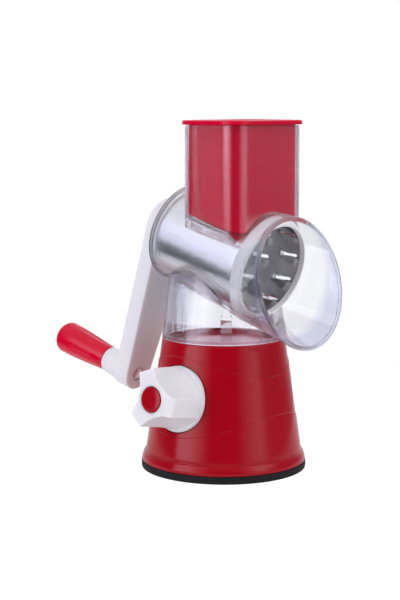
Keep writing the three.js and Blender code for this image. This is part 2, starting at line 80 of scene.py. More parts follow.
# The barrel, its mouth and the feed chute.
AXIS_Z = JOINTS["crank_turn"]["pos_m"][2] / MM
BARREL_BACK = -41  # places along the drum axis, measured towards the mouth
BARREL_MID = 22
BARREL_FRONT = 42
BARREL_BACK_R = 35.2
BARREL_MID_R = 38.3
BARREL_FRONT_R = 40.8
MOUTH_Y = -69
MOUTH_Z = 139.4
MOUTH_R = 46.2
MOUTH_LEAN = 12.7 * DEG
DEEP_TINT_Y = (-57, -66)  # where the clear plastic starts to turn a deeper lavender towards the mouth, and where it has fully turned
PEDESTAL_TOP = 152  # inside the barrel
PEDESTAL_RISE = 57  # the height over which it narrows by the next two values
PEDESTAL_IN_X = 10.9
PEDESTAL_IN_Y = 3.2
CHUTE_Y = -17.1
CHUTE = (38.7, 28, 14)  # half sizes and corner radius
CHUTE_TOP = 247.6
CHUTE_FOOT = 15
CHUTE_HEEL = 33.5  # half its width at the foot
PUSHER = (35.9, 25.2, 11.5)
PUSHER_CAP = (40.4, 29.8, 15.1)
PUSHER_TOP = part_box("pusher")[1].z / MM
PUSHER_FOOT = 26
PUSHER_ARCH_R = 36.8
PUSHER_WALL = 2.2

# The drum and the crank, along the same axis.
DRUM_BACK = -37
DRUM_FRONT = 43.5
DRUM_BACK_R = 30.2
DRUM_FRONT_R = 34.7
DRUM_T = 0.8
SLOT_ROWS = (-14, 10, 34)  # middles of the rows of slots along the axis
SLOTS = 6  # slots in a row, all on one side of the drum
SLOT_TURN = 20.5 * DEG  # first slot, from straight up towards +X
SLOT_STEP = 30.5 * DEG
SLOT_SLANT = 12 * DEG
SLOT_W = 2.2
SLOT_LENGTH = 13.5
BLADE_LIFT = 1.4
BLADE_REACH = 8  # how far back from its edge the sheet is pushed out
HEX_R = 6.1
ARM_FRONT = -46.7
ARM_T = 13.5
ARM_LENGTH = 115.3
ARM_HUB_R = 20.3
ARM_END_R = 12.8
ARM_SWING = 5.7 * DEG
BOSS_END = -78
GRIP_END = -124.5
GRIP_NEAR_R = 9.7
GRIP_FAR_R = 12.3
AXLE_R = 3.2

# The suction knob, along its own shaft.
KNOB_SEAT = 47.6
KNOB_FLANGE_R = 23.5
KNOB_FLANGE_T = 4.4
KNOB_FACE = 78.3
LOBE_TURN = 20 * DEG
LOBE_R = 21
LOBE_HALF = 6.8  # half the width of a lobe's blunt end
VALLEY_R = 12.8
SHAFT_R = 5

BAYONET_TURNS = [103 * DEG, 223 * DEG, 343 * DEG]
BAYONET_TWIST = 28 * DEG
POST_REACH = (33.4, 40.4)  # from the upright axis, inside and outside of a bayonet post


# Frames.
def frame_along(point, axis, y_hint):
    """A frame at a point in metres whose +Z runs along axis and whose +Y is close to y_hint."""
    z = Vector(axis).normalized()
    x = Vector(y_hint).cross(z).normalized()
    turn = Matrix((x, z.cross(x), z)).transposed().to_4x4()
    return Matrix.Translation(Vector(point)) @ turn


UPRIGHT = Matrix()
BARREL = frame_along(JOINTS["crank_turn"]["pos_m"], JOINTS["crank_turn"]["axis"], (0, 0, 1))
MOUTH = frame_along(
    (0, MOUTH_Y * MM, MOUTH_Z * MM), (0, -math.cos(MOUTH_LEAN), math.sin(MOUTH_LEAN)), (0, 0, 1)
)
KNOB = frame_along(
    JOINTS["knob_turn"]["pos_m"], -Vector(JOINTS["knob_turn"]["axis"]), (0, 1, 0)
)
CHUTE_FRAME = Matrix.Translation((0, CHUTE_Y * MM, 0))
ARM_END = (-ARM_LENGTH * math.sin(ARM_SWING), -ARM_LENGTH * math.cos(ARM_SWING))
GRIP = BARREL @ Matrix.Translation((ARM_END[0] * MM, ARM_END[1] * MM, 0))


def turned(angle, place=UPRIGHT):
    """A frame turned about its own Z."""
    return place @ Matrix.Rotation(angle, 4, "Z")


# Outlines.
def polar(radius, angle):
    return (radius * math.cos(angle), radius * math.sin(angle))


def softened(points, cut=0.5, steps=3):
    """The outline with its corners rounded. A third number on a point is its own cut, the length rounded
    off on each side of it. Points on the axis stay as they are."""
    made = []
    count = len(points)
    for i, point in enumerate(points):
        here = Vector(point[:2])
        if point[0] == 0:
            made.append(tuple(here))
            continue
        before = Vector(points[i - 1][:2]) - here
        after = Vector(points[(i + 1) % count][:2]) - here
        reach = min(point[2] if len(point) > 2 else cut, 0.48 * before.length, 0.48 * after.length)
        if reach < 0.01:
            made.append(tuple(here))
            continue
        a, b = before.normalized() * reach, after.normalized() * reach
        for k in range(steps + 1):
            t = k / steps
            made.append(tuple(here + a * (1 - t) ** 2 + b * t**2))
    return made


def rounded_rect(size, grow=0.0, steps=12):
    """The corners' arcs, from the middle outwards by half sizes and a radius."""
    x, y, r = (value + grow for value in size)
    points = []
    for turn, sx, sy in ((0, 1, 1), (1, -1, 1), (2, -1, -1), (3, 1, -1)):
        for k in range(steps + 1):
            dx, dy = polar(r, (turn + k / steps) * math.pi / 2)
            points.append((sx * (x - r) + dx, sy * (y - r) + dy))
    return points


def stadium(half_length, half_width, steps=8):
    """A slot's outline along Y with round ends."""
    straight = half_length - half_width
    points = []
    for end in (0, 1):
        for k in range(steps + 1):
            dx, dy = polar(half_width, end * math.pi + k * math.pi / steps)
            points.append((dx, dy + (straight if end == 0 else -straight)))
    return points


# Solids.
def solid(verts, faces, place=UPRIGHT):
    """A closed mesh from points in millimetres in one of the frames."""
    bm = bmesh.new()
    made = [bm.verts.new(place @ (Vector(v) * MM)) for v in verts]
    for face in faces:
        bm.faces.new([made[i] for i in face])
    bmesh.ops.remove_doubles(bm, verts=bm.verts, dist=1e-7)
    bmesh.ops.recalc_face_normals(bm, faces=bm.faces)
    mesh = bpy.data.meshes.new("shape")
    bm.to_mesh(mesh)
    bm.free()
    obj = bpy.data.objects.new("shape", mesh)
    bpy.context.scene.collection.objects.link(obj)
    return obj


def revolved(section, place=UPRIGHT, segments=ROUND):
    """A solid of revolution about the frame's Z. The section is a list of [radius, height] points, or a
    function of the angle that gives one, and it ends on the axis or closes on itself."""
    angles = [2 * math.pi * i / segments for i in range(segments)]
    profiles = [section(a) if callable(section) else section for a in angles]
    count = len(profiles[0])
    verts = [(*polar(r, a), z) for a, profile in zip(angles, profiles) for r, z in profile]
    closing = 0 if profiles[0][0][0] == 0 else 1
    faces = []
    for i in range(segments):
        j = (i + 1) % segments
        for k in range(count - 1 + closing):
            m = (k + 1) % count
            corners = [(i, k), (j, k), (j, m), (i, m)]
            if profiles[i][k][0] == 0:
                corners.remove((j, k))
            if profiles[i][m][0] == 0:
                corners.remove((j, m))
            if len(corners) > 2:
                faces.append([a * count + b for a, b in corners])
    return solid(verts, faces, place)


def rod(radius, start, end, place=UPRIGHT, segments=SMALL_ROUND):
    return revolved([(0, start), (radius, start), (radius, end), (0, end)], place, segments)


def tube(inner, outer, start, end, place=UPRIGHT, segments=SMALL_ROUND):
    return revolved([(inner, start), (outer, start), (outer, end), (inner, end)], place, segments)


def lofted(rings, place=UPRIGHT):
    """A skin over rings of points, each ring as long as the others, with both ends closed."""
    count = len(rings[0])
    verts = [point for ring in rings for point in ring]
    faces = [list(range(count)), list(range((len(rings) - 1) * count, len(rings) * count))]
    for row in range(len(rings) - 1):
        for i in range(count):
            j = (i + 1) % count
            a, b = row * count, (row + 1) * count
            faces.append([a + i, a + j, b + j, b + i])
    return solid(verts, faces, place)


def pushed(outline, start, end, place=UPRIGHT):
    return lofted([[(x, y, z) for x, y in outline] for z in (start, end)], place)


def block(x0, x1, y0, y1, z0, z1, place=UPRIGHT):
    return pushed([(x0, y0), (x1, y0), (x1, y1), (x0, y1)], z0, z1, place)


def remove(obj):
    mesh = obj.data
    bpy.data.objects.remove(obj)
    bpy.data.meshes.remove(mesh)


def apply_modifiers(obj):
    depsgraph = bpy.context.evaluated_depsgraph_get()
    mesh = bpy.data.meshes.new_from_object(obj.evaluated_get(depsgraph), depsgraph=depsgraph)
    old = obj.data
    obj.modifiers.clear()
    obj.data = mesh
    bpy.data.meshes.remove(old)
    return obj


def boolean(first, others, operation):
    for other in others:
        modifier = first.modifiers.new("boolean", "BOOLEAN")
        modifier.operation, modifier.solver, modifier.object = operation, "MANIFOLD", other
        apply_modifiers(first)
        remove(other)
    return first


def gathered(shapes):
    """Shapes that don't touch, as one object."""
    bm = bmesh.new()
    for shape in shapes:
        bm.from_mesh(shape.data)
    first, *rest = shapes
    bm.to_mesh(first.data)
    bm.free()
    for shape in rest:
        remove(shape)
    return first


def joined(first, *others):
    return boolean(first, others, "UNION")


def cut(first, *others):
    return boolean(first, others, "DIFFERENCE")


def common(first, *others):
    return boolean(first, others, "INTERSECT")


def bevelled(obj, width, angle=40, segments=3):
    """Rounds every edge sharper than the angle."""
    modifier = obj.modifiers.new("bevel", "BEVEL")
    modifier.width, modifier.segments = width * MM, segments
    modifier.limit_method, modifier.angle_limit = "ANGLE", angle * DEG
    return apply_modifiers(obj)


# Materials.
def shader(name, colour, roughness, metallic=0.0, ior=1.5):
    material = bpy.data.materials.new(name)
    material.use_nodes = True
    surface = material.node_tree.nodes["Principled BSDF"]
    surface.inputs["Base Color"].default_value = (*colour, 1)
    surface.inputs["Roughness"].default_value = roughness
    surface.inputs["Metallic"].default_value = metallic
    surface.inputs["IOR"].default_value = ior
    return material, surface


def node(material, kind, **values):
    made = material.node_tree.nodes.new(kind)
    for key, value in values.items():
        if key in made.inputs:
            made.inputs[key].default_value = value
        else:
            setattr(made, key, value)
    return made


def noise(material, scale, detail=2.0, stretch=(1, 1, 1)):
    """Noise in the object's own coordinates, with scale in cells per metre."""
    coordinates = node(material, "ShaderNodeTexCoord")
    mapping = node(material, "ShaderNodeMapping", Scale=stretch)
    pattern = node(material, "ShaderNodeTexNoise", Scale=scale, Detail=detail)
    links = material.node_tree.links
    links.new(coordinates.outputs["Object"], mapping.inputs["Vector"])
    links.new(mapping.outputs["Vector"], pattern.inputs["Vector"])
    return pattern.outputs["Fac"]


def vary_colour(material, surface, colours, factor):
    mix = node(material, "ShaderNodeMix", data_type="RGBA")
    mix.inputs["A"].default_value, mix.inputs["B"].default_value = (*colours[0], 1), (*colours[1], 1)
    material.node_tree.links.new(factor, mix.inputs["Factor"])
    material.node_tree.links.new(mix.outputs["Result"], surface.inputs["Base Color"])


def vary_roughness(material, surface, low, high, factor):
    spread = node(material, "ShaderNodeMapRange")
    spread.inputs["To Min"].default_value, spread.inputs["To Max"].default_value = low, high
    material.node_tree.links.new(factor, spread.inputs["Value"])
    material.node_tree.links.new(spread.outputs["Result"], surface.inputs["Roughness"])


def add_bump(material, surface, height, distance, strength=1.0):
    bump = node(material, "ShaderNodeBump", Strength=strength, Distance=distance)
    material.node_tree.links.new(height, bump.inputs["Height"])
    material.node_tree.links.new(bump.outputs["Normal"], surface.inputs["Normal"])


def moulded_plastic(name, colour, deeper, roughness, grain=2.5e-6, glow=0.0):
    """Gloss plastic: a slow drift of colour and gloss over the moulding, and a faint orange peel. The
    glow is the share of the light that spreads inside it."""
    material, surface = shader(name, colour, roughness, ior=1.4)
    surface.inputs["Specular IOR Level"].default_value = 0.33
    surface.inputs["Subsurface Weight"].default_value = glow
    surface.inputs["Subsurface Radius"].default_value = (1, 0.8, 0.8)
    surface.inputs["Subsurface Scale"].default_value = 9 * MM
    drift = noise(material, 22)
    vary_colour(material, surface, (deeper, colour), drift)
    vary_roughness(material, surface, roughness * 0.8, roughness * 1.25, noise(material, 70, 4))
    add_bump(material, surface, noise(material, 900, 3), grain)
    return material


def rubber():
    """Matt black rubber with a fine pebbled skin and a little dust in it."""
    material, surface = shader("foot_rubber", (0.012, 0.012, 0.014), 0.6, ior=1.35)
    surface.inputs["Specular IOR Level"].default_value = 0.25
    vary_colour(material, surface, ((0.009, 0.009, 0.011), (0.02, 0.02, 0.022)), noise(material, 320, 6))
    vary_roughness(material, surface, 0.5, 0.75, noise(material, 150, 4))
    add_bump(material, surface, noise(material, 2600, 2), 3e-5, 0.6)
    return material


def polished_steel():
    """Stainless sheet, polished, with faint lines round the drum from the polishing wheel."""
    material, surface = shader("drum_steel", (0.94, 0.94, 0.95), 0.18, metallic=1)
    along = math.atan2(BARREL.col[2][2], BARREL.col[2][1])
    lines = noise(material, 60, 6, (1, 22 * abs(math.cos(along)) + 1, 8))
    vary_roughness(material, surface, 0.12, 0.24, lines)
    add_bump(material, surface, lines, 4e-6, 0.5)
    return material


def bright_metal(name, colour, roughness):
    material, surface = shader(name, colour, roughness, metallic=1)
    vary_roughness(material, surface, roughness * 0.7, roughness * 1.4, noise(material, 500, 4))
    add_bump(material, surface, noise(material, 1800, 2), 4e-6, 0.5)
    return material


CLEAR_TINT = (0.93, 0.935, 0.985)
DEEP_LAVENDER_TINT = (0.58, 0.6, 0.78)


def clear_plastic():
    """Clear moulded plastic with a lavender tint where it is thick. Lamps shine through it unbent."""
    material, surface = shader("clear_plastic", (0.86, 0.865, 0.94), 0.0, ior=1.49)
    surface.inputs["Transmission Weight"].default_value = 1
    surface.inputs["Specular IOR Level"].default_value = 0.35
    surface.inputs["Alpha"].default_value = 0.8
    tree = material.node_tree
    # The mouth's wall is tinted a darker, deeper lavender than the rest.
    place = node(material, "ShaderNodeSeparateXYZ")
    tree.links.new(node(material, "ShaderNodeTexCoord").outputs["Object"], place.inputs["Vector"])
    forward = node(material, "ShaderNodeMapRange")
    forward.inputs["From Min"].default_value = DEEP_TINT_Y[0] * MM
    forward.inputs["From Max"].default_value = DEEP_TINT_Y[1] * MM
    tree.links.new(place.outputs["Y"], forward.inputs["Value"])
    vary_colour(material, surface, (CLEAR_TINT, DEEP_LAVENDER_TINT), forward.outputs["Result"])
    path = node(material, "ShaderNodeLightPath")
    straight = node(material, "ShaderNodeBsdfTransparent", Color=(0.975, 0.975, 0.985, 1))
    choice = node(material, "ShaderNodeMixShader")
    tree.links.new(path.outputs["Is Shadow Ray"], choice.inputs["Fac"])
    tree.links.new(surface.outputs["BSDF"], choice.inputs[1])
    tree.links.new(straight.outputs["BSDF"], choice.inputs[2])
    tree.links.new(choice.outputs["Shader"], tree.nodes["Material Output"].inputs["Surface"])
    return material


RED = moulded_plastic("red_plastic", (0.385, 0.001, 0.009), (0.365, 0.0008, 0.007), 0.13)
# The same red plastic as the base, made brighter: painted light on the pusher and the handle.
RED_PAINTED_BRIGHTER = moulded_plastic("red_plastic_painted_brighter", (0.7, 0.002, 0.032), (0.67, 0.0018, 0.029), 0.07)
WHITE = moulded_plastic("white_plastic", (0.79, 0.78, 0.8), (0.77, 0.76, 0.785), 0.34, glow=0.6)
# The drum's plastic has a slight cream tone, and it is also painted brighter than the white plastic: painted
# light against the shade of the clear body round it.
CREAM_AND_PAINTED_LIGHT = moulded_plastic("drum_plastic", (0.93, 0.92, 0.9), (0.91, 0.9, 0.88), 0.34)
DARK = moulded_plastic("dark_plastic", (0.05, 0.05, 0.055), (0.04, 0.04, 0.045), 0.5, grain=8e-6)
CLEAR = clear_plastic()
RUBBER = rubber()
STEEL = polished_steel()
AXLE_STEEL = bright_metal("axle_steel", (0.85, 0.86, 0.88), 0.4)
ZINC = bright_metal("zinc_plate", (0.6, 0.61, 0.64), 0.35)


# Pieces.
def piece(obj, name, body, material, slot, *nodes, sharp=32):
    """Names and finishes a mesh, and sets it on its body in place of its CAD nodes."""
    obj.name = obj.data.name = name
    obj.data.materials.clear()
    obj.data.materials.append(material)
    bm = bmesh.new()
    bm.from_mesh(obj.data)
    bmesh.ops.remove_doubles(bm, verts=bm.verts, dist=2e-6)
    bmesh.ops.dissolve_degenerate(bm, edges=bm.edges, dist=2e-6)
    for face in bm.faces:
        face.smooth = True
        face.material_index = 0
    for edge in bm.edges:
        edge.smooth = len(edge.link_faces) == 2 and edge.calc_face_angle(0) < sharp * DEG
    bm.to_mesh(obj.data)
    bm.free()
    weighted = obj.modifiers.new("weighted_normals", "WEIGHTED_NORMAL")
    weighted.keep_sharp = True
    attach(obj, body)
    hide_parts(*nodes)
    return obj


def cone_r(z):
    return CONE_START_R + (z - CONE_START_Z) * (BASE_TOP_R - CONE_START_R) / (BASE_H - CONE_START_Z)


def wave_heights(angle):
    """The two wavy steps that run round the housing, each with two crests."""
    along = angle - WAVE_START
    low = LOW_WAVE_Z + LOW_WAVE * math.sin(2 * along - 10 * DEG)
    return low, HIGH_WAVE_Z - HIGH_WAVE * math.sin(2 * along)


def base_section(angle):
    """The housing's wall at one angle. Its three tiers overlap: each stands out from the one above it."""
    low, high = wave_heights(angle)
    points = []
    for start, end, out in ((CONE_START_Z + 0.4, low, STEP), (low, high, 0), (high, BASE_H - 1, -STEP)):
        first, last = start + 0.9, end - 0.9
        for k in range(7):
            z = first + (last - first) * k / 6
            points.append((cone_r(z) + out, z))
        if end < BASE_H - 1:
            for dz, share in ((-0.35, 1), (-0.12, 0.9), (0, 0.6), (0.06, 0.2), (0.15, 0)):
                points.append((cone_r(end + dz) + out - STEP * (1 - share), end + dz))
    top_r, rim_inner = BASE_TOP_R - STEP, BASE_TOP_R - 2.4
    top = softened([
        (top_r, BASE_H, 0.5), (rim_inner, BASE_H, 0.4), (rim_inner, DECK_Z, 0.2), (0, DECK_Z),
    ])[:-1]
    inside = [
        (rim_inner - 2.6, DECK_Z - DECK_T), (CONE_START_R - 2.4, CONE_START_Z), (55, 11), (57.2, 8),
        (57.2, PAD_H + GAP),
    ]
    foot = softened([
        (0, 0), (FOOT_R - 0.1, PAD_H + GAP, 0.3), (FOOT_R - 0.3, 8.2, 1), (57.9, 12.2, 0.5),
        (CONE_START_R + STEP + 0.15, CONE_START_Z - 0.3, 0.2), (CONE_START_R + STEP, CONE_START_Z + 0.3, 0.2),
        (0, 0),
    ])[1:-1]
    return foot + points + top, inside


def base_housing():
    """The shell, with the deck, the seat and pocket of the knob, and the bayonet slots."""
    def section(angle):
        outside, inside = base_section(angle)
        deck = [(31, DECK_Z), (31, DECK_Z - DECK_T)]
        return outside + deck + inside

    shell = revolved(section, segments=192)
    deck = rod(32, DECK_Z - DECK_T, DECK_Z)
    outside = revolved([
        (0, 12), (CONE_START_R, CONE_START_Z), (BASE_TOP_R, BASE_H - 1), (0, BASE_H - 1),
    ])
    floor = common(rod(KNOB_FLANGE_R + 2.3, KNOB_SEAT - 2.6, KNOB_SEAT, KNOB, ROUND), outside)
    round_floor = rod(KNOB_FLANGE_R - 1.4, KNOB_SEAT - 2.6, KNOB_SEAT, KNOB, ROUND)
    skirt = tube(KNOB_FLANGE_R - 3.8, KNOB_FLANGE_R - 1.4, 38, KNOB_SEAT, KNOB, ROUND)
    bearing = rod(SHAFT_R + 3, 36, KNOB_SEAT, KNOB)
    pocket = rod(KNOB_FLANGE_R + 0.8, KNOB_SEAT, KNOB_SEAT + 14, KNOB, ROUND)
    bore = rod(SHAFT_R + GAP, 30, KNOB_SEAT + 5, KNOB)
    slots = [slot for turn in BAYONET_TURNS for slot in bayonet_cuts(turn)]
    return cut(joined(shell, deck, floor, round_floor, skirt, bearing), pocket, bore, *slots)


def ring_sector(inner, outer, start, end, z0, z1, steps=16):
    angles = [start + (end - start) * k / steps for k in range(steps + 1)]
    outline = [polar(outer, a) for a in angles] + [polar(inner, a) for a in reversed(angles)]
    return pushed(outline, z0, z1)


def bayonet_cuts(turn):
    spare = 6.5 * DEG
    start = turn - BAYONET_TWIST - spare
    slot = ring_sector(35, 39.2, start, turn + spare, DECK_Z - 4, DECK_Z + 1)
    entry = ring_sector(32.2, 36, start, start + 2 * spare, DECK_Z - 4, DECK_Z + 1)
    return slot, entry


def suction_pad():
    return revolved(softened([
        (PAD_CENTRE_R + 0.5, 1.2), (46, 0.8), (52, 0, 2), (FOOT_R + 0.1, 0, 0.6), (FOOT_R + 0.3, 1.4),
        (FOOT_R + 0.3, PAD_H - 0.6, 0.5), (FOOT_R - 0.4, PAD_H, 0.4), (56.7, PAD_H), (56.7, 7.8), (54.5, 7.8),
        (54.1, 4.2), (PAD_CENTRE_R + 0.5, 4.2),
    ]))


def pad_centre():
    return revolved(softened([
        (0, 0), (PAD_CENTRE_R, 0, 1), (PAD_CENTRE_R, 4.2, 0.6), (12, 5, 1), (9.3, 5, 0.3), (9.3, 2.1, 0.3),
        (0, 2.1),
    ]), segments=SMALL_ROUND)


def knob_outline(share):
    """Three blunt lobes joined by hollow arcs. share runs from 0 at the face to 1 at the flange, where
    the hollows have filled out."""
    tip = LOBE_R + 1.2 * share
    valley = VALLEY_R + 8.5 * share**2.2
    corner = math.hypot(tip, LOBE_HALF)
    half = math.pi / 3 - math.atan2(LOBE_HALF, tip)
    ahead, aside = corner * math.cos(half), corner * math.sin(half)
    depth = ahead - valley
    radius = (depth**2 + aside**2) / (2 * depth) if abs(depth) > 0.05 else 1e3
    sweep = math.asin(max(-1, min(1, aside / radius)))
    outline = []
    for lobe in range(3):
        turn = Matrix.Rotation(LOBE_TURN + lobe * 120 * DEG, 2)
        points = [(tip, -LOBE_HALF, 3.2), (tip, LOBE_HALF, 3.2)]
        outline += [(*(turn @ Vector(p[:2])), p[2]) for p in points]
        hollow = Matrix.Rotation(LOBE_TURN + (lobe * 120 + 60) * DEG, 2)
        for k in range(1, 16):
            bend = sweep * (2 * k / 16 - 1)
            point = Vector((valley + radius * (1 - math.cos(bend)), radius * math.sin(bend)))
            outline.append((*(hollow @ point), 0))
    return softened(outline, steps=6)


def lock_knob():
    flange_top = KNOB_SEAT + GAP + KNOB_FLANGE_T
    flange = revolved(softened([
        (0, KNOB_SEAT + GAP), (KNOB_FLANGE_R, KNOB_SEAT + GAP, 0.3), (KNOB_FLANGE_R, flange_top - 1.2, 0.8),
        (KNOB_FLANGE_R - 1.6, flange_top, 1.2), (0, flange_top),
    ], steps=5), KNOB)
    height = KNOB_FACE - flange_top
    rings = []
    for share in (1.04, 0.98, 0.94, 0.9, 0.85, 0.8, 0.72, 0.64, 0.55, 0.45, 0.35, 0.25, 0.15, 0.07):
        z = KNOB_FACE - share * height
        rings.append([(x, y, z) for x, y in knob_outline(min(share, 1))])
    for angle in (0, 18, 36, 54, 72, 90):
        inset = 1.7 * (1 - math.cos(angle * DEG))
        z = KNOB_FACE - 1.7 * (1 - math.sin(angle * DEG))
        ring = [Vector(p) for p in knob_outline(0.0)]
        rings.append([(*(p * (1 - inset / p.length)), z) for p in ring])
    grip = lofted(rings, KNOB)
    socket = rod(SHAFT_R + GAP, KNOB_SEAT, 67.3, KNOB)
    throat = rod(2, 67, 71, KNOB)
    recess = revolved([(0, 70), (9.3, 70), (9.3, KNOB_FACE - 0.5), (9.9, KNOB_FACE + 0.1),
                       (9.9, KNOB_FACE + 1), (0, KNOB_FACE + 1)], KNOB)
    return cut(joined(flange, grip), socket, throat, recess)


def knob_cap():
    return revolved(softened([
        (0, 73.4), (9, 73.4), (9, KNOB_FACE + 0.1, 0.6), (6, KNOB_FACE + 0.6, 2), (0, KNOB_FACE + 0.7),
    ]), KNOB, SMALL_ROUND)


# The clear body. Each hollow part is a plug with a smaller plug cut out of it.
def barrel_plug(inset, back, front):
    return revolved(softened([
        (0, back), (BARREL_BACK_R - inset, back, 0.4), (BARREL_MID_R - inset, BARREL_MID, 6),
        (BARREL_FRONT_R - inset, BARREL_FRONT, 0.1), (BARREL_FRONT_R - inset, front, 0.1), (0, front),
    ]), BARREL)


def mouth_plug(inset, overrun, steps=8):
    rings = []
    for k in range(steps + 1):
        share = k / steps * (1 + overrun)
        ring = []
        for i in range(ROUND):
            angle = 2 * math.pi * i / ROUND
            low = BARREL @ (Vector((*polar(BARREL_FRONT_R - inset, angle), BARREL_FRONT - 0.5)) * MM)
            high = MOUTH @ (Vector((*polar(MOUTH_R - inset, angle), 0)) * MM)
            ring.append(low.lerp(high, share) / MM)
        rings.append(ring)
    return lofted(rings)


def pedestal_plug(inset, start, end, steps=6):
    rings = []
    for k in range(steps + 1):
        z = start + (end - start) * k / steps
        rise = (z - BASE_H) / PEDESTAL_RISE
        x = BASE_TOP_R - PEDESTAL_IN_X * rise - inset
        y = BASE_TOP_R - PEDESTAL_IN_Y * rise - inset
        angles = [2 * math.pi * i / ROUND for i in range(ROUND)]
        rings.append([(x * math.cos(a), y * math.sin(a), z) for a in angles])
    return lofted(rings)


def chute_plug(size, inset, top):
    upright = pushed(rounded_rect(size), AXIS_Z - 10, top, CHUTE_FRAME)
    foot = CHUTE_FOOT + inset
    side = size[0] + 0.4
    heel = CHUTE_HEEL - inset
    wedge = softened([
        (-heel, foot, 0), (heel, foot, 0), (side, foot + 8, 6), (side, 130, 0),
        (-side, 130, 0), (-side, foot + 8, 6),
    ])
    return common(upright, pushed(wedge, -90, 110, BARREL))


def bayonet_post(turn):
    place = turned(turn)
    inner, outer = POST_REACH
    inside = pedestal_plug(WALL / 2, BASE_H, PEDESTAL_TOP)
    upper = common(block(inner, outer, -2.6, 2.6, 97, AXIS_Z, place), inside)
    foot = block(inner, outer, -3.8, 3.8, DECK_Z + 0.4, 115, place)
    neck = block(35.6, 38.6, -3.3, 3.3, DECK_Z - 3, DECK_Z + 1, place)
    hook = block(33, 38.6, -3.3, 3.3, DECK_Z - DECK_T - 3.3, DECK_Z - DECK_T - GAP, place)
    return [upper, foot, neck, hook]


def grater_body():
    chute = joined(
        chute_plug(CHUTE, 0, CHUTE_TOP - 0.6),
        pushed(rounded_rect(CHUTE, -0.6), CHUTE_TOP - 20, CHUTE_TOP, CHUTE_FRAME),
    )
    lip = revolved(softened([
        (MOUTH_R - 3, -1.7, 0.3), (MOUTH_R + 0.8, -1.7, 1),
        (MOUTH_R + 0.8, 1.2, 1.3), (MOUTH_R - 3, 1.2, 1.3),
    ], steps=5), MOUTH)
    spigot = revolved(softened([
        (39.8, DECK_Z + 0.4), (42.1, DECK_Z + 0.4), (42.1, BASE_H + GAP), (BASE_TOP_R - 0.2, BASE_H + GAP),
        (BASE_TOP_R - 0.5, 97.5), (39.8, 97.5),
    ], 0.3))
    pedestal = cut(
        pedestal_plug(0, BASE_H + GAP, PEDESTAL_TOP), pedestal_plug(WALL, BASE_H - 1, PEDESTAL_TOP + 1)
    )
    flange = revolved(softened([
        (0, BARREL_BACK), (BARREL_BACK_R + 0.6, BARREL_BACK, 0.5),
        (BARREL_BACK_R + 0.6, BARREL_BACK + 2.2, 0.5), (0, BARREL_BACK + 2.2),
    ]), BARREL)
    outside = joined(
        barrel_plug(0, BARREL_BACK, BARREL_FRONT), mouth_plug(0, 0), lip, chute, pedestal, flange, spigot,
        *[part for turn in BAYONET_TURNS for part in bayonet_post(turn)],
    )
    inner_chute = tuple(value - WALL for value in CHUTE)
    return cut(
        outside,
        barrel_plug(WALL, BARREL_BACK + 2.5, BARREL_FRONT + 0.5),
        mouth_plug(WALL, 0.3),
        chute_plug(inner_chute, WALL, CHUTE_TOP + 5),
        rod(8.9, BARREL_BACK - 2, BARREL_BACK + 5, BARREL),
    )


def rear_bush():
    return revolved(softened([
        (6.4, -43.4), (13, -43.4, 0.6), (13, -41.3), (8.6, -41.3, 0.2), (8.6, -38.2), (6.4, -38.2),
    ], 0.3), BARREL, SMALL_ROUND)


def over_drum(lift, arch_r):
    """The space above the pusher's foot and outside its arch."""
    box = block(-50, 50, PUSHER_FOOT + lift, 130, -90, 110, BARREL)
    return cut(box, rod(arch_r + lift, -92, 112, BARREL, ROUND))


def pusher():
    """A hollow cup whose underside is arched over the drum, with a rounded cap round its open top."""
    column = pushed(rounded_rect(PUSHER), AXIS_Z, PUSHER_TOP - 1, CHUTE_FRAME)
    cup = bevelled(common(column, over_drum(0, PUSHER_ARCH_R)), 0.8)
    low, high, edge = CHUTE_TOP + GAP, PUSHER_TOP, 1.5
    rings = [rounded_rect(PUSHER_CAP, -0.5), rounded_rect(PUSHER_CAP, -0.12), rounded_rect(PUSHER_CAP)]
    heights = [low, low + 0.15, low + 0.6]
    for angle in (0, 22, 45, 68, 90):
        rings.append(rounded_rect(PUSHER_CAP, -edge * (1 - math.cos(angle * DEG))))
        heights.append(high - edge * (1 - math.sin(angle * DEG)))
    cap = lofted([[(x, y, z) for x, y in ring] for ring, z in zip(rings, heights)], CHUTE_FRAME)
    inner = rounded_rect(PUSHER, -PUSHER_WALL)
    pocket = common(pushed(inner, AXIS_Z, PUSHER_TOP + 5, CHUTE_FRAME), over_drum(PUSHER_WALL, PUSHER_ARCH_R))
    mouth = [rounded_rect(PUSHER, -PUSHER_WALL + grow) for grow in (-0.2, 0, 0.25, 1.0, 1.6)]
    lift = [high - 3, high - 1.4, high - 0.7, high + 0.02, high + 1]
    opening = lofted([[(x, y, z) for x, y in ring] for ring, z in zip(mouth, lift)], CHUTE_FRAME)
    return cut(joined(cup, cap), pocket, opening)


# The drum.
def drum_radius(s):
    return DRUM_BACK_R + (DRUM_FRONT_R - DRUM_BACK_R) * (s - DRUM_BACK) / (DRUM_FRONT - DRUM_BACK)


def slot_places():
    """The angle and the place along the axis of every slot's middle."""
    for row, place in enumerate(SLOT_ROWS):
        for i in range(SLOTS):
            yield math.pi / 2 - SLOT_TURN - (i + row % 2 / 2) * SLOT_STEP, place


def eased(x):
    x = min(1, max(0, x))
    return x * x * (3 - 2 * x)


def blade_lift(angle, s):
    """How far the sheet stands out beside a slot: it rises to the cutting edge and drops across the slot."""
    lift = 0.0
    for middle, place in slot_places():
        if abs(s - place) > SLOT_LENGTH:
            continue
        away = ((angle - middle + math.pi) % (2 * math.pi) - math.pi) * drum_radius(s)
        across = away * math.cos(SLOT_SLANT) + (s - place) * math.sin(SLOT_SLANT)
        along = (s - place) * math.cos(SLOT_SLANT) - away * math.sin(SLOT_SLANT)
        ends = eased((SLOT_LENGTH / 2 + 1.5 - abs(along)) / 3)
        if across < 0:
            lift += BLADE_LIFT * ends * eased(1 + (across + SLOT_W / 2) / BLADE_REACH) ** 1.5
        else:
            lift -= 0.25 * ends * eased(1 - (across - SLOT_W / 2) / 3)
    return lift


